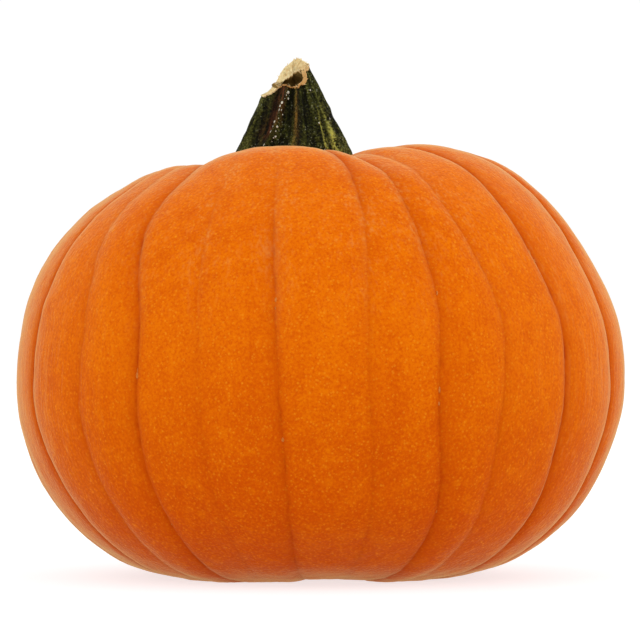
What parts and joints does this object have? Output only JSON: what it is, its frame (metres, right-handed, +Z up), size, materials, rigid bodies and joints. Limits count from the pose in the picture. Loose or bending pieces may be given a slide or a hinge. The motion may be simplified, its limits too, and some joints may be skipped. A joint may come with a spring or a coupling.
{
  "type": "pumpkin",
  "caption": "Round ribbed orange pumpkin, wider than tall, with a snapped green ridged stem in the cavity on top; it stands on its blossom end.",
  "frame": {"origin": "on the ground under the middle of the pumpkin's bounding box", "axes": "+Z up through the stem, -Y towards the side the picture shows, +X to the right in the picture"},
  "size_m": [0.301, 0.2928, 0.2565],
  "materials": {
    "fruit_rind": "smooth waxy rind with fine pale speckle",
    "stem_skin": "dry ridged stalk, dark green, straw-coloured where it is snapped"
  },
  "bodies": {
    "root": {"fruit": "fruit_rind", "stem": "stem_skin"}
  },
  "joints": []
}
